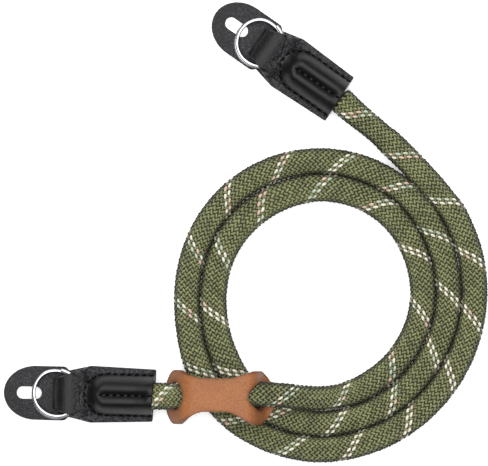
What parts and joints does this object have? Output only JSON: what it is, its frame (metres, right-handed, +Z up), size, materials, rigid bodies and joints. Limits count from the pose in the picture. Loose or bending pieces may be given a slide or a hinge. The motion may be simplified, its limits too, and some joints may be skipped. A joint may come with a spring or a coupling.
{
  "type": "coiled camera strap",
  "caption": "Round braided rope camera strap lying coiled, with a leather keeper and a slotted leather end with a split ring at each tip.",
  "frame": {"origin": "on the floor, under the middle of the box round the two leather ends, their rings and the keeper, with the strap lying flat", "axes": "+Z up from the floor, +X from the left leather end towards the coil, +Y from the keeper towards the upper right leather end"},
  "size_m": [0.2006, 0.1913, 0.0252],
  "materials": {
    "rope": "olive braided sheath with a fine pale tracer",
    "black_leather": "smooth black, soft sheen",
    "tan_leather": "vegetable-tanned tan, satin",
    "ring_steel": "polished"
  },
  "bodies": {
    "root": {"rope": "rope", "left_rope_end": "rope", "right_rope_end": "rope", "left_tab_leather": "black_leather", "right_tab_leather": "black_leather", "left_cover_leather": "black_leather", "right_cover_leather": "black_leather", "left_split_ring": "ring_steel", "right_split_ring": "ring_steel", "keeper": "tan_leather"}
  },
  "joints": []
}
